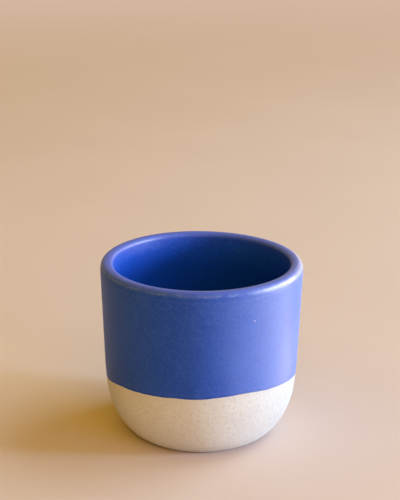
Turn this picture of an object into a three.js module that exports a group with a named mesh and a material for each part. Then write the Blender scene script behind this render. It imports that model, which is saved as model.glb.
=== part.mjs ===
// A handleless stoneware cup: one clay body thrown on the wheel and left bare round the foot, a blue
// glaze dipped over the outside and the same glaze poured inside, where it laps over the lip.
// Millimetres, +Z up. The origin is the middle of the foot's resting plane, and the front faces -Y.

import * as THREE from 'three';

// Overall form
const CUP_HEIGHT = 72.6; // resting plane to the crest of the glazed lip
const RIM_DIAMETER = 82; // over the glaze, where the wall meets the lip
const WALL_FOOT_DIAMETER = 78; // bare clay, where the straight wall turns into the lower curve
const WALL_FOOT_HEIGHT = 23.9;
const FOOT_DIAMETER = 54.2; // outer edge of the resting ring
const FOOT_SLOPE = THREE.MathUtils.degToRad(26); // at which the lower curve leaves the table
const FOOT_PULL = 7; // how far the lower curve is drawn along that slope
const WALL_PULL = 11.2; // how far it is drawn along the wall above it

// Underside
const RESTING_RING_WIDTH = 5.4;
const RECESS_DEPTH = 1.2; // of the trimmed hollow inside the resting ring
const RECESS_FLANK = 2.2; // width of its sloping side

// Clay thicknesses and the inside
const WALL_THICKNESS = 4.5;
const LIP_RISE = 3.3; // height over which the outer wall rounds into the lip
const INNER_LIP_DROP = 1.5; // height over which the lip turns down into the inner wall
const LIP_SQUARENESS = 2.6; // power of the lip's oval: 2 is an ellipse, more gives tighter shoulders
const FLOOR_THICKNESS = 6;
const INNER_CORNER_REACH = 15; // inwards, from the wall to the flat of the floor
const INNER_CORNER_RISE = 20; // upwards, from the floor to the straight wall

// Glaze
const GLAZE_THICKNESS = 0.3;
const EDGE_THICKNESS = 0.16; // of the dipped coat where it ends at the dip line
const EDGE_ROUND = 0.3; // distance over which that edge rolls up from the clay
const EDGE_FADE = 6; // distance over which it thickens to the plain coat
const DIP_HEIGHT = 24.8; // mean height of the dip line

// The dip line's departures from level: height * cos(lobes * angle - bearing). One lobe is the tilt
// at which the cup was held in the glaze, and the rest is the unsteadiness of the hand.
const DIP_WAVES = [
  { lobes: 1, height: 3.9, bearing: -79 },
  { lobes: 2, height: 0.5, bearing: -156 },
  { lobes: 3, height: 0.35, bearing: -101 },
  { lobes: 5, height: 0.25, bearing: 42 },
  { lobes: 9, height: 0.15, bearing: 118 },
];

// The lip is a slight saddle: it warped by this much, up and down, in the firing.
const RIM_SADDLE = 0.15;
const RIM_SADDLE_REACH = 45; // depth below the crest over which the warp dies out

// Fineness of the surfaces
const SEGMENTS = 60; // round the axis
const CURVE_ROWS = 8; // from the foot to the dip line
const EDGE_ROWS = [0, 0.12, 0.45, 1]; // shares of EDGE_ROUND
const FADE_ROWS = [0.4, 1]; // shares of EDGE_FADE
const WALL_ROWS = 4; // from the plain coat's start to the lip
const LIP_ROWS = 10;
const INNER_WALL_ROWS = 3;
const INNER_CORNER_ROWS = 7;
const FLOOR_ROWS = 1;

const CIRCLE_PULL = 0.5523; // pull of a cubic curve, as a share of the radius, that draws a quarter circle

// Sizes that follow from those above
const rimRadius = RIM_DIAMETER / 2 - GLAZE_THICKNESS;
const wallFootRadius = WALL_FOOT_DIAMETER / 2;
const footRadius = FOOT_DIAMETER / 2;
const lipCrest = CUP_HEIGHT - GLAZE_THICKNESS;
const lipBase = lipCrest - LIP_RISE;
const floorTop = RECESS_DEPTH + FLOOR_THICKNESS;

const wallFoot = new THREE.Vector2(wallFootRadius, WALL_FOOT_HEIGHT);
const wallTop = new THREE.Vector2(rimRadius, lipBase);
const wallDirection = wallTop.clone().sub(wallFoot).normalize();

// Radius of the outer wall's straight line at a height, carried on below the wall's foot where needed
function wallRadius(height) {
  const share = (height - wallFoot.y) / (wallTop.y - wallFoot.y);
  return THREE.MathUtils.lerp(wallFoot.x, wallTop.x, share);
}

// Outside of the clay as radius against height: lower curve, then the straight wall up to the lip
const outside = new THREE.Path();
outside.moveTo(footRadius, 0);
outside.bezierCurveTo(
  footRadius + FOOT_PULL * Math.cos(FOOT_SLOPE),
  FOOT_PULL * Math.sin(FOOT_SLOPE),
  wallFoot.x - WALL_PULL * wallDirection.x,
  wallFoot.y - WALL_PULL * wallDirection.y,
  wallFoot.x,
  wallFoot.y,
);
outside.lineTo(wallTop.x, wallTop.y);
const outsideLength = outside.getLength();

// Point of the clay's outside at a distance along it from the foot
function outsidePoint(distance) {
  return outside.getPoint(distance / outsideLength);
}

// Distance along the clay's outside at which it reaches a height, found by halving
function distanceAtHeight(height) {
  let low = 0;
  let high = outsideLength;
  for (let halving = 0; halving < 40; halving += 1) {
    const middle = (low + high) / 2;
    if (outsidePoint(middle).y < height) low = middle;
    else high = middle;
  }
  return (low + high) / 2;
}

function dipHeight(angle) {
  return DIP_WAVES.reduce(
    (height, wave) =>
      height + wave.height * Math.cos(wave.lobes * angle - THREE.MathUtils.degToRad(wave.bearing)),
    DIP_HEIGHT,
  );
}

// Underside, from the axis outwards: a shallow trimmed hollow inside a flat resting ring
const ringInnerRadius = footRadius - RESTING_RING_WIDTH;
const underside = [
  new THREE.Vector2(0, RECESS_DEPTH),
  new THREE.Vector2((ringInnerRadius - RECESS_FLANK) / 2, RECESS_DEPTH),
  new THREE.Vector2(ringInnerRadius - RECESS_FLANK, RECESS_DEPTH),
  new THREE.Vector2(ringInnerRadius, 0),
];

// Lip: two quarter ovals, from the outer wall up to the crest and from there down to the inner wall
const lip = Array.from({ length: LIP_ROWS + 1 }, (_, row) => {
  const turn = (Math.PI * row) / LIP_ROWS;
  const across = Math.sign(Math.cos(turn)) * Math.abs(Math.cos(turn)) ** (2 / LIP_SQUARENESS);
  const up = Math.sin(turn) ** (2 / LIP_SQUARENESS);
  const drop = across > 0 ? LIP_RISE : INNER_LIP_DROP;
  return new THREE.Vector2(
    rimRadius - WALL_THICKNESS / 2 + (WALL_THICKNESS / 2) * across,
    lipCrest - drop * (1 - up),
  );
});

// Inside, from the lip down: a wall beside the outer one, a wide round corner and a flat floor
const cornerTop = floorTop + INNER_CORNER_RISE;
const cornerRadius = wallRadius(cornerTop) - WALL_THICKNESS;
const flatRadius = cornerRadius - INNER_CORNER_REACH;
const cornerPull = CIRCLE_PULL * INNER_CORNER_RISE;
const innerWall = new THREE.LineCurve(
  new THREE.Vector2(rimRadius - WALL_THICKNESS, lipCrest - INNER_LIP_DROP),
  new THREE.Vector2(cornerRadius, cornerTop),
).getPoints(INNER_WALL_ROWS);
const innerCorner = new THREE.CubicBezierCurve(
  new THREE.Vector2(cornerRadius, cornerTop),
  new THREE.Vector2(
    cornerRadius - cornerPull * wallDirection.x,
    cornerTop - cornerPull * wallDirection.y,
  ),
  new THREE.Vector2(flatRadius + CIRCLE_PULL * INNER_CORNER_REACH, floorTop),
  new THREE.Vector2(flatRadius, floorTop),
).getPoints(INNER_CORNER_ROWS);
const floor = new THREE.LineCurve(
  new THREE.Vector2(flatRadius, floorTop),
  new THREE.Vector2(0, floorTop),
).getPoints(FLOOR_ROWS);
const inside = [...innerWall.slice(1), ...innerCorner.slice(1), ...floor.slice(1)];

// Distances above the dip line of the rows of points that the clay and its dipped coat share
function glazedRows(wallLeft) {
  const plainStart = EDGE_ROUND + EDGE_FADE;
  const rows = [
    ...EDGE_ROWS.map((share) => share * EDGE_ROUND),
    ...FADE_ROWS.map((share) => EDGE_ROUND + share * EDGE_FADE),
  ];
  for (let row = 1; row <= WALL_ROWS; row += 1) {
    rows.push(THREE.MathUtils.lerp(plainStart, wallLeft, row / WALL_ROWS));
  }
  return rows;
}

// Thickness of the dipped coat at a distance above the dip line: a quarter round, then a slow swell
function dippedThickness(distance) {
  if (distance < EDGE_ROUND) {
    return EDGE_THICKNESS * Math.sqrt(1 - (1 - distance / EDGE_ROUND) ** 2);
  }
  const swollen = THREE.MathUtils.smoothstep(distance, EDGE_ROUND, EDGE_ROUND + EDGE_FADE);
  return THREE.MathUtils.lerp(EDGE_THICKNESS, GLAZE_THICKNESS, swollen);
}

// A profile's points moved outwards from the clay, each by its own thickness
function coatOver(points, thicknesses) {
  return points.map((point, index) => {
    const before = points[Math.max(index - 1, 0)];
    const after = points[Math.min(index + 1, points.length - 1)];
    const along = after.clone().sub(before).normalize();
    const outwards = new THREE.Vector2(along.y, -along.x);
    return point.clone().addScaledVector(outwards, thicknesses[index]);
  });
}

// Every profile of the cup at one angle round it, in rows that the touching pieces share
function profilesAt(angle) {
  const dipDistance = distanceAtHeight(dipHeight(angle));
  const bare = [];
  for (let row = 0; row < CURVE_ROWS; row += 1) {
    bare.push(outsidePoint((dipDistance * row) / CURVE_ROWS));
  }
  const rows = glazedRows(outsideLength - dipDistance);
  const glazed = rows.map((distance) => outsidePoint(dipDistance + distance));

  // The dipped coat reaches one row up the lip, and the poured coat starts there and laps over its edge.
  const overLip = [...lip.slice(1), ...inside];
  const lapToe = overLip[0];
  const dippedThicknesses = [...rows.map(dippedThickness), 0];
  const dippedFace = coatOver([...glazed, lapToe], dippedThicknesses);
  const lapEdge = dippedFace.at(-2);
  const pouredFace = coatOver(overLip, overLip.map(() => GLAZE_THICKNESS));

  return {
    clay: [...underside, ...bare, ...glazed, ...overLip],
    dipped: [...dippedFace, ...glazed.slice(1).toReversed()],
    poured: [lapEdge, ...pouredFace, ...overLip.toReversed()],
  };
}

// Height that the warp of the lip adds at an angle and a height
function warp(angle, height) {
  const share = THREE.MathUtils.smoothstep(height, CUP_HEIGHT - RIM_SADDLE_REACH, CUP_HEIGHT);
  return -RIM_SADDLE * Math.sin(2 * angle) * share;
}

// The angles round the axis, and the cup's profiles there
const angles = Array.from({ length: SEGMENTS }, (_, step) => (step * 2 * Math.PI) / SEGMENTS);
const profiles = angles.map(profilesAt);

// A solid that joins one profile to the next all the way round. Each profile closes on itself and runs
// with its solid on the left. A patch between two rows is split from its lower corner here to its upper
// corner at the next angle, so that pieces which touch lay the same triangles there.
function turnedSolid(kind) {
  const points = profiles[0][kind];
  const positions = profiles.flatMap((profile, step) =>
    profile[kind].flatMap(({ x: radius, y: height }) => [
      radius * Math.cos(angles[step]),
      radius * Math.sin(angles[step]),
      height + warp(angles[step], height),
    ]),
  );
  const onAxis = (corner) => points[corner % points.length].x < Number.EPSILON;
  const triangles = [];
  const addTriangle = (...corners) => {
    if (corners.filter(onAxis).length < 2) triangles.push(...corners);
  };
  profiles.forEach((profile, step) => {
    const here = step * points.length;
    const next = ((step + 1) % SEGMENTS) * points.length;
    profile[kind].forEach((point, row) => {
      const after = (row + 1) % points.length;
      if (point.y < profile[kind][after].y) {
        addTriangle(here + row, next + row, next + after);
        addTriangle(here + row, next + after, here + after);
      } else {
        addTriangle(here + row, next + row, here + after);
        addTriangle(next + row, next + after, here + after);
      }
    });
  });
  const geometry = new THREE.BufferGeometry();
  geometry.setAttribute('position', new THREE.Float32BufferAttribute(positions, 3));
  geometry.setIndex(triangles);
  geometry.computeVertexNormals();
  return geometry;
}

function piece(name, geometry, look) {
  const mesh = new THREE.Mesh(geometry, new THREE.MeshStandardMaterial(look));
  mesh.name = name;
  return mesh;
}

const BARE_CLAY = { color: 0xdccab4, roughness: 0.92, metalness: 0 };
const BLUE_GLAZE = { color: 0x4a5fc4, roughness: 0.42, metalness: 0 };

const cup = new THREE.Group();
cup.add(
  piece('stoneware_body', turnedSolid('clay'), BARE_CLAY),
  piece('outer_glaze', turnedSolid('dipped'), BLUE_GLAZE),
  piece('liner_glaze', turnedSolid('poured'), BLUE_GLAZE),
);

export default cup;
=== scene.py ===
"""A handleless stoneware cup: bare sandy clay round the foot, blue satin glaze above it and inside."""
import bpy
import math
import numpy as np
from mathutils import Matrix, Vector


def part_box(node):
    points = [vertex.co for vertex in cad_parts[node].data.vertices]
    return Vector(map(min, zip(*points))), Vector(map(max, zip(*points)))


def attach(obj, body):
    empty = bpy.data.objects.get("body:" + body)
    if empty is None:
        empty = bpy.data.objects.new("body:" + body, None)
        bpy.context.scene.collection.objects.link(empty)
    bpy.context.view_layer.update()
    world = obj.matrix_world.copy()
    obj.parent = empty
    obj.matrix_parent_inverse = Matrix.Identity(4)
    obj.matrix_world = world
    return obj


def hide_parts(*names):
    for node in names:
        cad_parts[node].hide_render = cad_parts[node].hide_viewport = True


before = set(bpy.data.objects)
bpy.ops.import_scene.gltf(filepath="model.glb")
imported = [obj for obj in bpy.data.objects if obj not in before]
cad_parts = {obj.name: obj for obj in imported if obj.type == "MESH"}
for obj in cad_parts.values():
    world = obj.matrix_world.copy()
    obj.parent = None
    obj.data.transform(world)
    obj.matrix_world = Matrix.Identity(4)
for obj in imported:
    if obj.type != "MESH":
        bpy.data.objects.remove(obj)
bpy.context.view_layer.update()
MM = 0.001

# The cup's form, in metres. The rim, the lip's height and the glaze come from the frame's own boxes.
clay_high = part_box("stoneware_body")[1]
RIM_RADIUS = clay_high.x  # of the clay, where the wall meets the lip
GLAZE_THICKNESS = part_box("outer_glaze")[1].x - RIM_RADIUS
RIM_SADDLE = 0.15 * MM  # how far the lip is warped up and down
RIM_SADDLE_REACH = 45 * MM  # height over which the warp grows up to the lip
LIP_CREST = clay_high.z - RIM_SADDLE
LIP_RISE = 3.3 * MM  # height over which the outer wall rounds into the lip
INNER_LIP_DROP = 1.5 * MM  # height over which the lip turns down into the inner wall
LIP_BASE = LIP_CREST - LIP_RISE
LIP_SQUARENESS = 2.6  # power of the lip's oval: 2 is an ellipse, more gives tighter shoulders
WALL_THICKNESS = 4.5 * MM
WALL_FOOT = np.array([39.0, 23.9]) * MM  # radius and height where the wall turns into the lower curve
WALL_TOP = np.array([RIM_RADIUS, LIP_BASE])
WALL_DIRECTION = (WALL_TOP - WALL_FOOT) / np.linalg.norm(WALL_TOP - WALL_FOOT)
FOOT_RADIUS = 27.1 * MM
FOOT_SLOPE = math.radians(26)
FOOT_PULL = 7.0 * MM  # how strongly the lower curve leaves along the foot's slope
WALL_PULL = 11.2 * MM  # how strongly it arrives along the wall's
FOOT_SOFTENING = 0.5 * MM  # how far the worn edge of the resting ring is rounded
FOOT_WEAR_REACH = 3 * FOOT_SOFTENING
RESTING_RING_WIDTH = 5.4 * MM
RECESS_DEPTH = 1.2 * MM
RECESS_FLANK = 2.2 * MM
FLOOR_TOP = 7.2 * MM
INNER_CORNER_REACH = 15.0 * MM
INNER_CORNER_RISE = 20.0 * MM
CIRCLE_PULL = 0.5523  # pull of a cubic curve that draws a quarter circle

# The dip line: mean height, and its waves as (lobes, height, bearing in degrees)
DIP_HEIGHT = 24.8 * MM
DIP_WAVES = (
    (1, 3.9 * MM, -79),
    (2, 0.5 * MM, -156),
    (3, 0.35 * MM, -101),
    (5, 0.25 * MM, 42),
    (9, 0.15 * MM, 118),
    (17, 0.06 * MM, 35),
    (29, 0.035 * MM, 200),
    (47, 0.02 * MM, 75),
)
EDGE_THICKNESS = 0.16 * MM  # of the dipped coat where it ends
EDGE_ROUND = 0.3 * MM  # distance over which that edge rolls up from the clay
EDGE_FADE = 6.0 * MM  # distance over which it thickens to the plain coat
PLAIN_START = EDGE_ROUND + EDGE_FADE

# The potter's hand: shallow rings that climb round the wall in a spiral
OUTER_RING_PITCH = 7.5 * MM
OUTER_RING_DEPTH = 0.03 * MM
OUTER_RING_START = (4 * MM, 16 * MM)  # heights between which the outer rings come in
OUTER_RING_FADE = 6 * MM  # height below the lip over which they die away
INNER_RING_PITCH = 6.2 * MM
INNER_RING_DEPTH = 0.025 * MM
INNER_RING_START = 14 * MM  # height above the floor over which the inner rings come in
INNER_RING_FADE = 9 * MM
RING_UNEVENNESS = 0.3  # share of their depth by which the rings vary
RING_SWAY = 0.6  # radians by which they stray from even spacing
SWAY_RATE = 0.31  # waves of that sway to each ring
UNEVEN_RATES = (0.37, 0.23)  # waves to each ring of the two sines that make the depth uneven
UNEVEN_LOBES = 2  # waves of the first of them round the cup
UNEVEN_SHIFT = 1.0  # radians by which the second is shifted

# The grooves that the trimming tool left under the foot
TURNING_PITCH = 1.3 * MM
TURNING_DEPTH = 0.05 * MM
TURNING_START = (2 * MM, 4 * MM)  # radii between which they come in
TURNING_FADE = 1 * MM  # distance over which they die away at the hollow's edge

# Fineness of the surfaces: angles round the axis, points on the guiding curves and rows of each stretch
AROUND = 264
ANGLES = np.linspace(0, 2 * np.pi, AROUND, endpoint=False)[:, None]
LOWER_CURVE_STEPS = 600
INNER_CURVE_STEPS = 400
HOLLOW_ROWS = 60
FLANK_ROWS = 12
RING_ROWS = 8
BARE_ROWS = 50
EDGE_ROWS = 9
SWELL_ROWS = 14
WALL_ROWS = 60
LIP_ROWS = 49
INNER_WALL_ROWS = 64
INNER_CORNER_ROWS = 40
INNER_FLOOR_ROWS = 12
LAP_ROW = 4  # rows of the lip that the dipped coat climbs before the poured coat takes over
SHARP_ANGLE = math.radians(40)  # between faces, beyond which an edge stays crisp

# The camera, fitted to the photograph's outline of the cup
IMAGE_LONG_SIDE = 500  # pixels
FOCAL_LENGTH = 1398.6  # pixels
SENSOR_WIDTH = 36.0  # millimetres along the long side
CAMERA_PLACE = Vector((-0.72 * MM, -536.5 * MM, 251.2 * MM))
CAMERA_PITCH = 0.3145  # radians below the horizon
CAMERA_ROLL = 0.0067  # radians

# Colours, as linear red, green, blue and alpha
BLUE_BODY = (0.006, 0.064, 0.47, 1)
BLUE_CLOUD = (0.009, 0.076, 0.50, 1)
BLUE_MOTTLE = (0.035, 0.118, 0.60, 1)
# Deeper blue: thick glaze, and painted shade inside the cup and under the dip line's edge
BLUE_DEEP_AND_SHADED = (0.002, 0.045, 0.36, 1)
# Lavender: thin glaze, and painted light on the crest and above the dip line's edge
BLUE_THIN_AND_LIT = (0.12, 0.15, 0.56, 1)
BLUE_BREAK = (0.12, 0.19, 0.55, 1)
PINHOLE = (0.55, 0.56, 0.66, 1)
CLAY_BODY = (0.7, 0.68, 0.64, 1)
CLAY_PALE = (0.77, 0.76, 0.725, 1)
CLAY_DARK = (0.56, 0.505, 0.43, 1)
CLAY_IRON = (0.22, 0.13, 0.07, 1)
FLOOR_PEACH = (0.675, 0.559, 0.535, 1)
FLOOR_PALE = (0.69, 0.574, 0.55, 1)

# Textures, by how many features a metre holds. Radii of specks are shares of their cells.
CLOUDS_PER_METRE = 130.0
MOTTLE_PER_METRE = 900.0
RAGGED_PER_METRE = 700.0
BREAKS_PER_METRE = 170.0
SAND_PER_METRE = 850.0
CLAY_PATCHES_PER_METRE = 70.0
FLOOR_CLOUDS_PER_METRE = 9.0
TOOL_LINES_PER_METRE = (30.0, 30.0, 1400.0)  # long round the cup and close together up it
FINER = 2.7  # how much closer the finer half of a grain is
FINE_SHARE = 0.6  # of the finer half in a grain's relief
PINHOLES = {"Per Metre": 95.0, "Radius": 0.035, "Share": 0.35}
PALE_GRAINS = {"Per Metre": 900.0, "Radius": 0.42, "Share": 0.4}
IRON_SPECKS = {"Per Metre": 330.0, "Radius": 0.11, "Share": 0.3}

# Smooth rises: the two measures between which a value changes, and the values there if not 0 and 1
CLOUD_RISE = (0.3, 0.7)
MOTTLE_RISE = (0.42, 0.72, 0.0, 0.5)
GLAZE_ROUGHNESS = (0.3, 0.7, 0.44, 0.54)
CLAY_PATCH_RISE = (0.35, 0.65, 0.0, 0.5)
CLAY_GRAIN_RISE = (0.47, 0.72, 0.0, 0.5)
CLAY_ROUGHNESS = (0.3, 0.7, 0.8, 0.95)
BREAK_PATCHES = (0.36, 0.62, 0.25, 1.0)
OVERHEAD_RISE = (0.2, 0.8)

# How strongly each detail shows
LINE_WANDER = 2.2 * MM  # how far a broken line strays
PINHOLE_SHARE = 0.7
PINHOLE_DEPTH = 2.0  # against the glaze's mottle
PALE_GRAIN_SHARE = 0.55
PALE_GRAIN_HEIGHT = 0.25  # against the clay's grain
IRON_SHARE = 0.35
TOOL_LINE_HEIGHT = 0.5  # against the clay's grain
CLAY_BUMP = {"Distance": 0.14 * MM, "Strength": 0.9}
GLAZE_BUMP = {"Distance": 0.05 * MM, "Strength": 0.35}
GLAZE_GLOSS = 0.27  # strength of the glaze's own sheen
POOL_GLOSS = 0.04  # and deep inside the cup
WALL_SKIN = 0.045  # share of the smoother glassy skin over it on the wall
LIP_SKIN = 0.22  # and on the lip
SKIN_ROUGHNESS = 0.26
FLOOR_ROUGHNESS = 0.9

# The dipped coat, by distance above the dip line or below the lap
# Deeper blue along the dip line's edge: partly thicker glaze, partly painted shade under the rolled edge
THICK_AND_SHADED_EDGE = (0.2 * MM, 0.9 * MM, 0.55, 0.0)
# A paler band just above the edge: painted highlight on the glaze above the rolled edge
LIT_BAND_START = (0.7 * MM, 1.4 * MM)
LIT_BAND_END = (1.8 * MM, 3.0 * MM, 0.06, 0.0)
LAP_LINE = {"Middle": -1.0 * MM, "Half Width": 2.4 * MM}  # mostly its lower half shows
LAP_SHARE = 0.15
SPECK_PLACE = (20.5 * MM, -35.1 * MM, 59.6 * MM)  # the pale speck on the front of the wall
SPECK_SPREAD = (0.1 * MM, 0.45 * MM, 0.6, 0.0)

# The poured coat, by distance over the lip from its outer edge
PALE_LINE = {"Middle": 2.2 * MM, "Half Width": 0.9 * MM}
PALE_LINE_SHARE = 0.7
DARK_LINE = {"Middle": 0.9 * MM, "Half Width": 1.1 * MM}
DARK_LINE_SHARE = 0.2
# Paler over the crest and just inside: partly thin glaze, partly painted light on the up-facing crest
# and the lit top of the inside
CREST_START = (2.2 * MM, 3.4 * MM)
CREST_END = (6.0 * MM, 9.0 * MM, 0.42, 0.0)
# Deeper blue inside: partly glaze pooled in the cup, partly painted shade in its hollow
POOL_AND_SHADE_RISE = (9 * MM, 22 * MM)
GLOSS_END = (7.5 * MM, 14 * MM, GLAZE_GLOSS, POOL_GLOSS)
SKIN_START = (0.5 * MM, 3.0 * MM, WALL_SKIN, LIP_SKIN)
SKIN_END = (7.5 * MM, 14 * MM, 1.0, 0.0)

# The light, in metres and linear colours
WINDOW_DISTANCE = 1.5
CARD_DISTANCE = 0.3
CARD_ELEVATION = 13  # degrees
SHEET_LEVEL = 1 * MM  # height of the round sheets above the floor
LAMP_AIM = Vector((0, 0, 0.035))
LOW_WINDOW_COLOUR = (0.53, 0.73, 1.0)
HIGH_WINDOW_COLOUR = (0.61, 0.84, 1.0)
FRONT_FILL_COLOUR = (1.0, 0.62, 0.15)
SIDE_FILL_COLOUR = (0.36, 0.54, 1.0)
GLOSS_COLOUR = (1.0, 0.83, 0.3)
LIGHT_LOW = (0.14, 0.09, 0.03, 1)
LIGHT_OVERHEAD = (0.72, 0.44, 0.04, 1)
SKY = (0.665, 0.48, 0.36, 1)
FLOOR_HALF = 6.0  # from the middle of the floor to its sides
FLOOR_LEVEL = -0.02 * MM
FLOOR_FADE = (0.5, 1.4)  # distances from the cup between which the floor fades into the backdrop


def smooth_step(value, low, high):
    """0 below low and 1 above high, with an even cubic rise between them."""
    share = np.clip((value - low) / (high - low), 0, 1)
    return share * share * (3 - 2 * share)


def cubic(start, start_pull, end_pull, end, steps):
    """Points of a cubic curve: its four corners weighted by the cubic Bernstein shares of t."""
    t = np.linspace(0, 1, steps)[:, None]
    return (
        (1 - t) ** 3 * start
        + 3 * (1 - t) ** 2 * t * start_pull
        + 3 * (1 - t) * t**2 * end_pull
        + t**3 * end
    )


def length_along(points):
    """Running length of a line of points: the sum of the straight steps up to each."""
    steps = np.linalg.norm(np.diff(points, axis=0), axis=1)
    return np.concatenate([[0], np.cumsum(steps)])


def outer_line():
    """Radius and height of the clay's outside: a cubic lower curve, then a straight wall to the lip."""
    foot = np.array([FOOT_RADIUS, 0])
    foot_direction = np.array([math.cos(FOOT_SLOPE), math.sin(FOOT_SLOPE)])
    lower = cubic(
        foot,
        foot + FOOT_PULL * foot_direction,
        WALL_FOOT - WALL_PULL * WALL_DIRECTION,
        WALL_FOOT,
        LOWER_CURVE_STEPS,
    )
    return np.vstack([lower, WALL_TOP])


def inner_line():
    """Radius and height of the clay's inside: a straight wall, a cubic corner and a flat floor."""
    corner_top = FLOOR_TOP + INNER_CORNER_RISE
    share = (corner_top - WALL_FOOT[1]) / (LIP_BASE - WALL_FOOT[1])
    corner_radius = WALL_FOOT[0] + share * (RIM_RADIUS - WALL_FOOT[0]) - WALL_THICKNESS
    corner = np.array([corner_radius, corner_top])
    flat = np.array([corner_radius - INNER_CORNER_REACH, FLOOR_TOP])
    curve = cubic(
        corner,
        corner - CIRCLE_PULL * INNER_CORNER_RISE * WALL_DIRECTION,
        flat + np.array([CIRCLE_PULL * INNER_CORNER_REACH, 0]),
        flat,
        INNER_CURVE_STEPS,
    )
    inner_lip = np.array([RIM_RADIUS - WALL_THICKNESS, LIP_CREST - INNER_LIP_DROP])
    return np.vstack([inner_lip, curve, [0, FLOOR_TOP]])


def along(line, distances, at):
    """Radius and height on a line at the given running lengths, between its points in proportion."""
    return np.interp(at, distances, line[:, 0]), np.interp(at, distances, line[:, 1])


def dip_height(angle):
    """Height of the dip line: its mean plus a cosine for each wave."""
    waves = (
        height * np.cos(lobes * angle - math.radians(bearing))
        for lobes, height, bearing in DIP_WAVES
    )
    return DIP_HEIGHT + sum(waves)


def spiral_rings(angle, height, pitch, depth):
    """A sine of the height that shifts by one ring for each turn, made uneven by slower sines."""
    turns = 2 * np.pi * height / pitch - angle
    first, second = UNEVEN_RATES
    swing = np.sin(first * turns + UNEVEN_LOBES * angle) * np.sin(second * turns + UNEVEN_SHIFT)
    uneven = 1 - RING_UNEVENNESS + RING_UNEVENNESS * swing
    return depth * np.sin(turns + RING_SWAY * np.sin(SWAY_RATE * turns)) * uneven


def outer_relief(angle, height):
    """Radial relief of the outside: spiral rings that fade out at the foot and at the lip."""
    fade = smooth_step(height, *OUTER_RING_START)
    fade = fade * (1 - smooth_step(height, LIP_BASE - OUTER_RING_FADE, LIP_BASE))
    return fade * spiral_rings(angle, height, OUTER_RING_PITCH, OUTER_RING_DEPTH)


def inner_relief(angle, height):
    """Radial relief of the inside: spiral rings that fade out at the floor and at the lip."""
    fade = smooth_step(height, FLOOR_TOP, FLOOR_TOP + INNER_RING_START)
    fade = fade * (1 - smooth_step(height, LIP_BASE - INNER_RING_FADE, LIP_BASE))
    return fade * spiral_rings(angle, height, INNER_RING_PITCH, INNER_RING_DEPTH)


def dipped_thickness(above):
    """Thickness of the dipped coat above its edge: a quarter round, then a slow even swell."""
    rolled = np.sqrt(np.clip(1 - (1 - np.minimum(above, EDGE_ROUND) / EDGE_ROUND) ** 2, 0, 1))
    swollen = smooth_step(above, EDGE_ROUND, PLAIN_START)
    return rolled * (EDGE_THICKNESS + (GLAZE_THICKNESS - EDGE_THICKNESS) * swollen)


def coat_over(radius, height, thickness):
    """Each profile's points moved along the profile's own normal by the thickness there."""
    run = np.gradient(radius, axis=1)
    rise = np.gradient(height, axis=1)
    size = np.hypot(run, rise)
    return radius + thickness * rise / size, height - thickness * run / size


def everywhere(values):
    """A row of values repeated for each angle round the axis."""
    return np.broadcast_to(values, (AROUND, len(values)))


def underside_rows():
    """Radius and height of the underside from the axis out: grooved hollow, flank, resting ring."""
    ring_inner = FOOT_RADIUS - RESTING_RING_WIDTH
    hollow_end = ring_inner - RECESS_FLANK
    hollow = np.linspace(0, hollow_end, HOLLOW_ROWS)
    flank = np.linspace(hollow_end, ring_inner, FLANK_ROWS)[1:]
    ring = np.linspace(ring_inner, FOOT_RADIUS - FOOT_SOFTENING, RING_ROWS)[1:]
    radius = np.concatenate([hollow, flank, ring])
    level = RECESS_DEPTH * (1 - smooth_step(radius, hollow_end, ring_inner))
    grooved = smooth_step(radius, *TURNING_START)
    grooved = grooved * (1 - smooth_step(radius, hollow_end - TURNING_FADE, hollow_end))
    grooves = TURNING_DEPTH * np.sin(2 * np.pi * radius / TURNING_PITCH - ANGLES)
    return everywhere(radius), level + grooved * grooves


def clay_outside(distance):
    """Radius and height of the clay's outside at running lengths, with its rings and worn foot."""
    radius, height = along(OUTER_LINE, OUTER_DISTANCE, distance)
    worn = FOOT_SOFTENING * (1 - smooth_step(distance, 0, FOOT_WEAR_REACH)) ** 2
    return radius + outer_relief(ANGLES, height) - worn, height


def lip_rows():
    """Radius and height over the lip: two quarter ovals, a cosine and a sine raised to one power."""
    turn = np.linspace(0, np.pi, LIP_ROWS)[1:]
    across = np.sign(np.cos(turn)) * np.abs(np.cos(turn)) ** (2 / LIP_SQUARENESS)
    up = np.abs(np.sin(turn)) ** (2 / LIP_SQUARENESS)
    radius = RIM_RADIUS - WALL_THICKNESS / 2 + WALL_THICKNESS / 2 * across
    drop = np.where(across > 0, LIP_RISE, INNER_LIP_DROP)
    return everywhere(radius), everywhere(LIP_CREST - drop * (1 - up))


def inside_rows():
    """Radius and height of the clay's inside, from the lip to the axis, with its spiral rings."""
    corner_start, corner_end, axis = INNER_DISTANCE[1], INNER_DISTANCE[-2], INNER_DISTANCE[-1]
    wall = np.linspace(0, corner_start, INNER_WALL_ROWS)[1:]
    corner = np.linspace(corner_start, corner_end, INNER_CORNER_ROWS)[1:]
    flat = np.linspace(corner_end, axis, INNER_FLOOR_ROWS)[1:]
    radius, height = along(INNER_LINE, INNER_DISTANCE, np.concatenate([wall, corner, flat]))
    return radius + inner_relief(ANGLES, height), everywhere(height)


def above_dip():
    """Distances above the dip line: close rows on the rolled edge, then even ones up to the lip."""
    rolled = EDGE_ROUND * (1 - np.cos(np.linspace(0, np.pi / 2, EDGE_ROWS)))
    swell = np.linspace(EDGE_ROUND, PLAIN_START, SWELL_ROWS)[1:]
    shares = np.linspace(0, 1, WALL_ROWS)[1:]
    wall = PLAIN_START + shares * (OUTER_DISTANCE[-1] - DIP_DISTANCE - PLAIN_START)
    return np.concatenate([everywhere(np.concatenate([rolled, swell])), wall], axis=1)


def joined(*parts):
    """Several stretches of one profile, each a radius and a height, put end to end."""
    return tuple(np.concatenate(stretch, axis=1) for stretch in zip(*parts))


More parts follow.
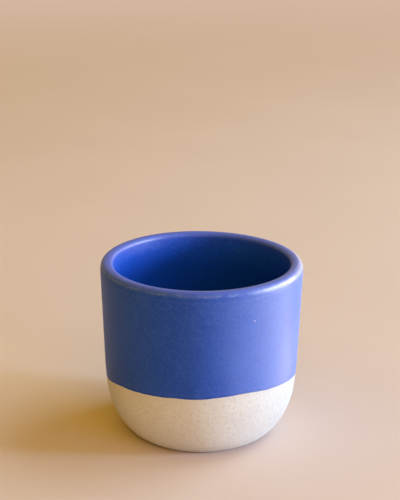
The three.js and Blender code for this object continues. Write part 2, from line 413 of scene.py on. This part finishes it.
def rows(part, start=None, stop=None, step=None):
    """Some of a profile's rows."""
    chosen = slice(start, stop, step)
    return part[0][:, chosen], part[1][:, chosen]


def dipped_face():
    """Radius and height of the dipped coat's outer face, from the dip line to the lap."""
    clay = joined(GLAZED, rows(LIP, 0, 1))
    thickness = np.concatenate([dipped_thickness(ABOVE_DIP), np.zeros((AROUND, 1))], axis=1)
    return rows(coat_over(*clay, thickness), 0, -1)


# The stretches of profile that the clay and the coats share
OUTER_LINE = outer_line()
OUTER_DISTANCE = length_along(OUTER_LINE)
INNER_LINE = inner_line()
INNER_DISTANCE = length_along(INNER_LINE)
DIP_DISTANCE = np.interp(dip_height(ANGLES), OUTER_LINE[:, 1], OUTER_DISTANCE)
ABOVE_DIP = above_dip()
GLAZED = clay_outside(DIP_DISTANCE + ABOVE_DIP)
LIP = lip_rows()
INSIDE = inside_rows()
DIPPED_FACE = dipped_face()


def warped(radius, height):
    """Points in space round the axis, lifted near the lip by a sine of twice the angle."""
    share = smooth_step(height, LIP_CREST - RIM_SADDLE_REACH, LIP_CREST)
    lift = -RIM_SADDLE * np.sin(2 * ANGLES) * share
    return np.stack([radius * np.cos(ANGLES), radius * np.sin(ANGLES), height + lift], axis=2)


def turned_mesh(name, profile, on_axis, measures=None):
    """A closed skin joining each angle's profile to the next. Profiles run with the solid on the left.

    A profile that starts and ends on the axis has one point there for all angles; any other closes on
    itself. A face joins rows r and r+1 at angles a and a+1. Measures of the surface, one value to each
    point, are kept on the mesh for the material to read.
    """
    points = warped(*profile)
    row_count = points.shape[1]
    number = np.arange(AROUND * row_count).reshape(AROUND, row_count)
    if on_axis:
        number[:, 0] = number[0, 0]
        number[:, -1] = number[0, -1]
    else:
        number = np.concatenate([number, number[:, :1]], axis=1)
    here, there = number, np.roll(number, -1, axis=0)
    corners = np.stack([here[:, :-1], there[:, :-1], there[:, 1:], here[:, 1:]], axis=2)
    used, corners = np.unique(corners.reshape(-1, 4), return_inverse=True)
    corners = corners.reshape(-1, 4)
    starts_on_axis = corners[:, 0] == corners[:, 1]
    ends_on_axis = corners[:, 2] == corners[:, 3]
    first = corners[starts_on_axis][:, [0, 2, 3]]
    fours = corners[~starts_on_axis & ~ends_on_axis]
    last = corners[ends_on_axis][:, [0, 1, 2]]
    faces = [*first.tolist(), *fours.tolist(), *last.tolist()]
    mesh = bpy.data.meshes.new(name)
    mesh.from_pydata(points.reshape(-1, 3)[used], [], faces)
    mesh.polygons.foreach_set("use_smooth", np.ones(len(mesh.polygons), dtype=bool))
    mesh.set_sharp_from_angle(angle=SHARP_ANGLE)
    for label, values in (measures or {}).items():
        attribute = mesh.attributes.new(label, "FLOAT", "POINT")
        attribute.data.foreach_set("value", values.reshape(-1)[used].astype(np.float32))
    mesh.update()
    piece = bpy.data.objects.new(name, mesh)
    bpy.context.collection.objects.link(piece)
    return piece


def stoneware_body():
    """The clay: underside, lower curve, the wall under the glaze, the lip and the inside."""
    bare = clay_outside(DIP_DISTANCE * np.linspace(0, 1, BARE_ROWS)[:-1])
    profile = joined(underside_rows(), bare, GLAZED, LIP, INSIDE)
    piece = turned_mesh("bare_stoneware", profile, on_axis=True)
    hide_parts("stoneware_body")
    return piece


def outer_glaze():
    """The dipped coat: its face from the dip line up, then back down along the clay."""
    toe = rows(LIP, 0, LAP_ROW)
    profile = joined(DIPPED_FACE, rows(toe, None, None, -1), rows(GLAZED, -1, 0, -1))
    top = ABOVE_DIP[:, -1:]
    above = np.concatenate([ABOVE_DIP, np.repeat(top, LAP_ROW, axis=1), ABOVE_DIP[:, :0:-1]], axis=1)
    measures = {"above_dip": above, "below_lap": top - above}
    piece = turned_mesh("dipped_glaze", profile, on_axis=False, measures=measures)
    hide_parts("outer_glaze")
    return piece


def liner_glaze():
    """The poured coat: along the clay from the axis over the lip, then back over its own face."""
    clay = joined(rows(LIP, LAP_ROW - 1), INSIDE)
    edge = rows(DIPPED_FACE, -1)
    lap = joined(rows(GLAZED, -1), LIP, INSIDE)
    face = rows(coat_over(*lap, GLAZE_THICKNESS), 1)
    profile = joined(rows(clay, None, None, -1), edge, face)
    steps = np.hypot(np.diff(lap[0], axis=1), np.diff(lap[1], axis=1))
    over = np.concatenate([np.zeros((AROUND, 1)), np.cumsum(steps, axis=1)], axis=1)
    measures = {"over_lip": np.concatenate([over[:, : LAP_ROW - 1 : -1], over], axis=1)}
    piece = turned_mesh("poured_glaze", profile, on_axis=True, measures=measures)
    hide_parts("liner_glaze")
    return piece


def put(tree, kind, settings=None, sockets=None):
    """A shader node with its settings, and its sockets set to a value or linked to another socket."""
    node = tree.nodes.new("ShaderNode" + kind)
    for name, value in (settings or {}).items():
        setattr(node, name, value)
    for name, value in (sockets or {}).items():
        if isinstance(value, bpy.types.NodeSocket):
            tree.links.new(value, node.inputs[name])
        else:
            node.inputs[name].default_value = value
    return node


def maths(tree, operation, first, second=0.0):
    """One operation on two values."""
    return put(tree, "Math", {"operation": operation}, {0: first, 1: second}).outputs[0]


def times(tree, first, second):
    """One value multiplied by another."""
    return maths(tree, "MULTIPLY", first, second)


def ramp(tree, value, low, high, at_low=0.0, at_high=1.0):
    """A smooth rise of a value from at_low, at low, to at_high, at high."""
    sockets = {"Value": value, "From Min": low, "From Max": high, "To Min": at_low, "To Max": at_high}
    return put(tree, "MapRange", {"interpolation_type": "SMOOTHSTEP"}, sockets).outputs["Result"]


def blend(tree, share, first, second):
    """Two colours mixed by a share. The node has its colours at inputs 6 and 7 and at output 2."""
    return put(tree, "Mix", {"data_type": "RGBA"}, {0: share, 6: first, 7: second}).outputs[2]


def noise(tree, place, per_metre, detail, roughness=0.5):
    """Cloudy noise between 0 and 1."""
    sockets = {"Vector": place, "Scale": per_metre, "Detail": detail, "Roughness": roughness}
    return put(tree, "TexNoise", None, sockets).outputs["Fac"]


def object_place(tree):
    """Where a point lies on its own piece, in metres."""
    return put(tree, "TexCoord").outputs["Object"]


def measure_of(tree, name):
    """A measure that the mesh carries, in metres."""
    return put(tree, "Attribute", {"attribute_name": name}).outputs["Fac"]


def new_group(name, takes, gives):
    """An empty node group with named sockets, what its inlet gives and what its outlet takes."""
    group = bpy.data.node_groups.new(name, "ShaderNodeTree")
    for label, kind in takes:
        group.interface.new_socket(label, in_out="INPUT", socket_type="NodeSocket" + kind)
    for label, kind in gives:
        group.interface.new_socket(label, in_out="OUTPUT", socket_type="NodeSocket" + kind)
    return group, group.nodes.new("NodeGroupInput").outputs, group.nodes.new("NodeGroupOutput").inputs


def use(tree, group, sockets):
    """A node group placed in a material or another group."""
    return put(tree, "Group", {"node_tree": group}, sockets).outputs


def grain_group():
    """Grain of two sizes: coarse noise for the tone, and the same with finer noise for the relief."""
    group, takes, gives = new_group(
        "Grain",
        [("Vector", "Vector"), ("Per Metre", "Float")],
        [("Tone", "Float"), ("Relief", "Float")],
    )
    coarse = noise(group, takes["Vector"], takes["Per Metre"], detail=4.0, roughness=0.62)
    fine = noise(group, takes["Vector"], times(group, takes["Per Metre"], FINER), detail=2.0)
    relief = maths(group, "ADD", coarse, times(group, fine, FINE_SHARE))
    group.links.new(coarse, gives["Tone"])
    group.links.new(relief, gives["Relief"])
    return group


def speck_group():
    """Scattered specks: the cores of random cells, kept in only some of the cells."""
    group, takes, gives = new_group(
        "Specks",
        [("Vector", "Vector"), ("Per Metre", "Float"), ("Radius", "Float"), ("Share", "Float")],
        [("Mask", "Float")],
    )
    places = {"Vector": takes["Vector"], "Scale": takes["Per Metre"]}
    cells = put(group, "TexVoronoi", None, places).outputs
    half = times(group, takes["Radius"], 0.5)
    core = ramp(group, cells["Distance"], half, takes["Radius"], 1.0, 0.0)
    chance = put(group, "SeparateColor", None, {"Color": cells["Color"]}).outputs["Red"]
    kept = maths(group, "LESS_THAN", chance, takes["Share"])
    group.links.new(times(group, core, kept), gives["Mask"])
    return group


def glaze_group():
    """The blue glaze: clouded and mottled; deeper where it is thick and where shade is painted; lavender
    where it is thin, where light is painted, and where it breaks.
    """
    group, takes, gives = new_group(
        "Blue glaze",
        [("Vector", "Vector"), ("Thick and shaded", "Float"), ("Thin and lit", "Float"), ("Break", "Float")],
        [("Color", "Color"), ("Roughness", "Float"), ("Relief", "Float")],
    )
    place = takes["Vector"]
    clouds = use(group, GRAIN, {"Vector": place, "Per Metre": CLOUDS_PER_METRE})["Tone"]
    mottle = use(group, GRAIN, {"Vector": place, "Per Metre": MOTTLE_PER_METRE})
    pinholes = use(group, SPECKS, {"Vector": place, **PINHOLES})["Mask"]
    colour = blend(group, ramp(group, clouds, *CLOUD_RISE), BLUE_BODY, BLUE_CLOUD)
    colour = blend(group, ramp(group, mottle["Tone"], *MOTTLE_RISE), colour, BLUE_MOTTLE)
    for share, change in (("Thick and shaded", BLUE_DEEP_AND_SHADED), ("Thin and lit", BLUE_THIN_AND_LIT), ("Break", BLUE_BREAK)):
        colour = blend(group, takes[share], colour, change)
    colour = blend(group, times(group, pinholes, PINHOLE_SHARE), colour, PINHOLE)
    roughness = ramp(group, mottle["Tone"], *GLAZE_ROUGHNESS)
    relief = maths(group, "SUBTRACT", mottle["Relief"], times(group, pinholes, PINHOLE_DEPTH))
    group.links.new(colour, gives["Color"])
    group.links.new(roughness, gives["Roughness"])
    group.links.new(relief, gives["Relief"])
    return group


def broken_line_group():
    """Where the glaze breaks along an edge: a ragged band at one distance, kept only in patches."""
    group, takes, gives = new_group(
        "Broken line",
        [("Vector", "Vector"), ("Distance", "Float"), ("Middle", "Float"), ("Half Width", "Float")],
        [("Mask", "Float")],
    )
    place = takes["Vector"]
    ragged = use(group, GRAIN, {"Vector": place, "Per Metre": RAGGED_PER_METRE})["Tone"]
    patches = use(group, GRAIN, {"Vector": place, "Per Metre": BREAKS_PER_METRE})["Tone"]
    wander = times(group, maths(group, "SUBTRACT", ragged, 0.5), LINE_WANDER)
    strayed = maths(group, "ADD", takes["Distance"], wander)
    offset = maths(group, "ABSOLUTE", maths(group, "SUBTRACT", strayed, takes["Middle"]))
    band = ramp(group, offset, 0.0, takes["Half Width"], 1.0, 0.0)
    kept = ramp(group, patches, *BREAK_PATCHES)
    group.links.new(times(group, band, kept), gives["Mask"])
    return group


GRAIN = grain_group()
SPECKS = speck_group()
GLAZE = glaze_group()
BROKEN_LINE = broken_line_group()


def new_look(name):
    """A new material, its node tree and its main shader."""
    material = bpy.data.materials.new(name)
    material.use_nodes = True
    tree = material.node_tree
    return material, tree, tree.nodes["Principled BSDF"]


def finish_look(tree, shader, colour, roughness, relief, bump):
    """Links a colour, a roughness and a bump to a material's shader."""
    bumped = put(tree, "Bump", None, {"Height": relief, **bump}).outputs["Normal"]
    tree.links.new(colour, shader.inputs["Base Color"])
    tree.links.new(roughness, shader.inputs["Roughness"])
    tree.links.new(bumped, shader.inputs["Normal"])


def glaze_finish(tree, shader, coat, colour):
    """Links the glaze and its colour to a material's shader, under a thin glassy skin."""
    finish_look(tree, shader, colour, coat["Roughness"], coat["Relief"], GLAZE_BUMP)
    shader.inputs["Specular IOR Level"].default_value = GLAZE_GLOSS
    shader.inputs["Coat Weight"].default_value = WALL_SKIN
    shader.inputs["Coat Roughness"].default_value = SKIN_ROUGHNESS


def bare_stoneware_look():
    """Unglazed clay: sandy grain, pale and iron specks, and fine lines drawn by the trimming tool."""
    material, tree, shader = new_look("bare stoneware")
    place = object_place(tree)
    grain = use(tree, GRAIN, {"Vector": place, "Per Metre": SAND_PER_METRE})
    drawn = put(tree, "Mapping", None, {"Vector": place, "Scale": TOOL_LINES_PER_METRE})
    lines = noise(tree, drawn.outputs["Vector"], per_metre=1.0, detail=3.0)
    patches = noise(tree, place, CLAY_PATCHES_PER_METRE, detail=3.0)
    pale = use(tree, SPECKS, {"Vector": place, **PALE_GRAINS})["Mask"]
    iron = use(tree, SPECKS, {"Vector": place, **IRON_SPECKS})["Mask"]
    colour = blend(tree, ramp(tree, patches, *CLAY_PATCH_RISE), CLAY_BODY, CLAY_PALE)
    colour = blend(tree, ramp(tree, grain["Tone"], *CLAY_GRAIN_RISE), colour, CLAY_DARK)
    colour = blend(tree, times(tree, pale, PALE_GRAIN_SHARE), colour, CLAY_PALE)
    colour = blend(tree, times(tree, iron, IRON_SHARE), colour, CLAY_IRON)
    roughness = ramp(tree, grain["Tone"], *CLAY_ROUGHNESS)
    relief = maths(tree, "ADD", grain["Relief"], times(tree, lines, TOOL_LINE_HEIGHT))
    relief = maths(tree, "ADD", relief, times(tree, pale, PALE_GRAIN_HEIGHT))
    finish_look(tree, shader, colour, roughness, relief, CLAY_BUMP)
    shader.inputs["Specular IOR Level"].default_value = 0.0
    return material


def dipped_glaze_look():
    """The dipped blue coat: deeper along its edge (thicker glaze and painted shade), a painted highlight
    just above, dull by the lap, and one speck.
    """
    material, tree, shader = new_look("dipped blue glaze")
    place = object_place(tree)
    above = measure_of(tree, "above_dip")
    # deeper blue along the edge: partly thicker glaze, partly painted shade
    edge = ramp(tree, above, *THICK_AND_SHADED_EDGE)
    # paler band just above the edge: painted highlight
    band = times(tree, ramp(tree, above, *LIT_BAND_START), ramp(tree, above, *LIT_BAND_END))
    below = measure_of(tree, "below_lap")
    lap = use(tree, BROKEN_LINE, {"Vector": place, "Distance": below, **LAP_LINE})["Mask"]
    dull = times(tree, lap, LAP_SHARE)
    coat = use(tree, GLAZE, {"Vector": place, "Thick and shaded": edge, "Thin and lit": band, "Break": dull})
    between = put(tree, "VectorMath", {"operation": "DISTANCE"}, {0: place, 1: SPECK_PLACE})
    speck = ramp(tree, between.outputs["Value"], *SPECK_SPREAD)
    glaze_finish(tree, shader, coat, blend(tree, speck, coat["Color"], PINHOLE))
    return material


def poured_glaze_look():
    """The poured blue coat: it breaks along the lip's shoulder; paler over the crest, partly thin glaze
    and partly painted light; deeper inside, partly pooled glaze and partly painted shade.
    """
    material, tree, shader = new_look("poured blue glaze")
    place = object_place(tree)
    over = measure_of(tree, "over_lip")
    pale_line = use(tree, BROKEN_LINE, {"Vector": place, "Distance": over, **PALE_LINE})["Mask"]
    dark_line = use(tree, BROKEN_LINE, {"Vector": place, "Distance": over, **DARK_LINE})["Mask"]
    # paler crest: partly thin glaze, partly painted light
    crest = times(tree, ramp(tree, over, *CREST_START), ramp(tree, over, *CREST_END))
    # deeper inside: partly pooled glaze, partly painted shade
    pool_and_shade = ramp(tree, over, *POOL_AND_SHADE_RISE)
    thick_and_shaded = maths(tree, "MAXIMUM", pool_and_shade, times(tree, dark_line, DARK_LINE_SHARE))
    broken = times(tree, pale_line, PALE_LINE_SHARE)
    coat = use(tree, GLAZE, {"Vector": place, "Thick and shaded": thick_and_shaded, "Thin and lit": crest, "Break": broken})
    glaze_finish(tree, shader, coat, coat["Color"])
    gloss = ramp(tree, over, *GLOSS_END)
    skin = times(tree, ramp(tree, over, *SKIN_START), ramp(tree, over, *SKIN_END))
    tree.links.new(gloss, shader.inputs["Specular IOR Level"])
    tree.links.new(skin, shader.inputs["Coat Weight"])
    return material


def seen_directly(tree):
    """1 for what is seen straight, in gloss or through glass, 0 for light on its way to a surface."""
    rays = put(tree, "LightPath").outputs
    seen = maths(tree, "MAXIMUM", rays["Is Camera Ray"], rays["Is Glossy Ray"])
    return maths(tree, "MAXIMUM", seen, rays["Is Transmission Ray"])


def floor():
    """A wide pale floor just under the foot, faintly cloudy, which fades into the backdrop far away."""
    sides = (-FLOOR_HALF, FLOOR_HALF)
    corners = [(x, y, FLOOR_LEVEL) for y in sides for x in sides]
    mesh = bpy.data.meshes.new("floor")
    mesh.from_pydata(corners, [], [(0, 1, 3, 2)])
    plane = bpy.data.objects.new("floor", mesh)
    bpy.context.collection.objects.link(plane)
    material, tree, shader = new_look("pale floor")
    place = object_place(tree)
    clouds = noise(tree, place, FLOOR_CLOUDS_PER_METRE, detail=2.0)
    colour = blend(tree, ramp(tree, clouds, *CLOUD_RISE), FLOOR_PEACH, FLOOR_PALE)
    tree.links.new(colour, shader.inputs["Base Color"])
    shader.inputs["Roughness"].default_value = FLOOR_ROUGHNESS
    shader.inputs["Specular IOR Level"].default_value = 0.0
    away = put(tree, "VectorMath", {"operation": "LENGTH"}, {0: place}).outputs["Value"]
    far = times(tree, ramp(tree, away, *FLOOR_FADE), seen_directly(tree))
    backdrop = put(tree, "Emission", None, {"Color": SKY}).outputs["Emission"]
    mixed = put(tree, "MixShader", None, {0: far, 1: shader.outputs["BSDF"], 2: backdrop})
    tree.links.new(mixed.outputs["Shader"], tree.nodes["Material Output"].inputs["Surface"])
    mesh.materials.append(material)


def area_light(name, shape, size, colour):
    """A soft flat light that the camera doesn't see."""
    data = bpy.data.lights.new(name, "AREA")
    data.shape = shape
    data.size, data.size_y = size
    data.color = colour
    source = bpy.data.objects.new(name, data)
    source.visible_camera = False
    bpy.context.collection.objects.link(source)
    return source


def lamp(name, azimuth, elevation, size, strength, colour, distance=WINDOW_DISTANCE):
    """A lamp that faces the cup from angles in degrees, the azimuth counted from +X towards +Y.

    Its strength is how bright it makes a white sheet in the cup's place.
    """
    source = area_light(name, "RECTANGLE", size, colour)
    source.data.energy = math.pi**2 * distance**2 * strength
    turn, rise = math.radians(azimuth), math.radians(elevation)
    towards = Vector((math.cos(turn) * math.cos(rise), math.sin(turn) * math.cos(rise), math.sin(rise)))
    source.location = LAMP_AIM + distance * towards
    source.rotation_euler = (-towards).to_track_quat("-Z", "Y").to_euler()
    return source


def gloss_sheet(name, place, width, brightness):
    """A bright round sheet lying on the floor beside the cup, which shows only in the glaze's gloss."""
    source = area_light(name, "DISK", (width, width), GLOSS_COLOUR)
    source.data.energy = math.pi * width**2 * brightness
    source.location = (*place, SHEET_LEVEL)
    source.rotation_euler = (math.pi, 0, 0)
    source.visible_diffuse = False


def gloss_card(name, azimuth, size, strength):
    """A bright card close to the cup, which shows only in the glaze's gloss."""
    source = lamp(name, azimuth, CARD_ELEVATION, size, strength, GLOSS_COLOUR, CARD_DISTANCE)
    source.visible_diffuse = False


def surroundings():
    """A warm world that lights mostly from overhead. The camera and gloss see it as a plain backdrop."""
    world = bpy.data.worlds.new("surroundings")
    bpy.context.scene.world = world
    world.use_nodes = True
    tree = world.node_tree
    towards = put(tree, "TexCoord").outputs["Generated"]
    height = put(tree, "SeparateXYZ", None, {"Vector": towards}).outputs["Z"]
    light = blend(tree, ramp(tree, height, *OVERHEAD_RISE), LIGHT_LOW, LIGHT_OVERHEAD)
    shown = blend(tree, seen_directly(tree), light, SKY)
    tree.links.new(shown, tree.nodes["Background"].inputs["Color"])


def camera():
    """The photograph's viewpoint: in front of the cup, looking down on it."""
    data = bpy.data.cameras.new("camera")
    data.sensor_width = SENSOR_WIDTH
    data.lens = FOCAL_LENGTH / IMAGE_LONG_SIDE * SENSOR_WIDTH
    viewer = bpy.data.objects.new("camera", data)
    turn = Matrix.Rotation(math.pi / 2 - CAMERA_PITCH, 4, "X") @ Matrix.Rotation(CAMERA_ROLL, 4, "Z")
    viewer.matrix_world = Matrix.Translation(CAMERA_PLACE) @ turn
    bpy.context.collection.objects.link(viewer)
    bpy.context.scene.camera = viewer


camera()
for make, look in (
    (stoneware_body, bare_stoneware_look),
    (outer_glaze, dipped_glaze_look),
    (liner_glaze, poured_glaze_look),
):
    made = make()
    made.data.materials.append(look())
    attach(made, "root")

floor()
lamp("low window", azimuth=-9, elevation=11, size=(0.26, 0.36), strength=1.0, colour=LOW_WINDOW_COLOUR)
lamp("high window", azimuth=20, elevation=50, size=(0.9, 0.9), strength=0.59, colour=HIGH_WINDOW_COLOUR)
lamp("front fill", azimuth=-80, elevation=30, size=(0.8, 0.8), strength=0.27, colour=FRONT_FILL_COLOUR)
lamp("side fill", azimuth=-40, elevation=18, size=(0.8, 0.8), strength=0.32, colour=SIDE_FILL_COLOUR)
gloss_sheet("near sheet", place=(0.158, -0.07), width=0.24, brightness=6.1)
gloss_sheet("middle sheet", place=(0.165, 0.01), width=0.18, brightness=1.2)
gloss_sheet("front sheet", place=(0.11, -0.14), width=0.16, brightness=1.5)
gloss_sheet("far sheet", place=(0.13, 0.1), width=0.2, brightness=0.5)
gloss_card("gloss card", azimuth=4, size=(0.28, 0.18), strength=5.4)
gloss_card("back card", azimuth=55, size=(0.20, 0.18), strength=0.45)
surroundings()
bpy.context.scene.view_settings.view_transform = "Standard"
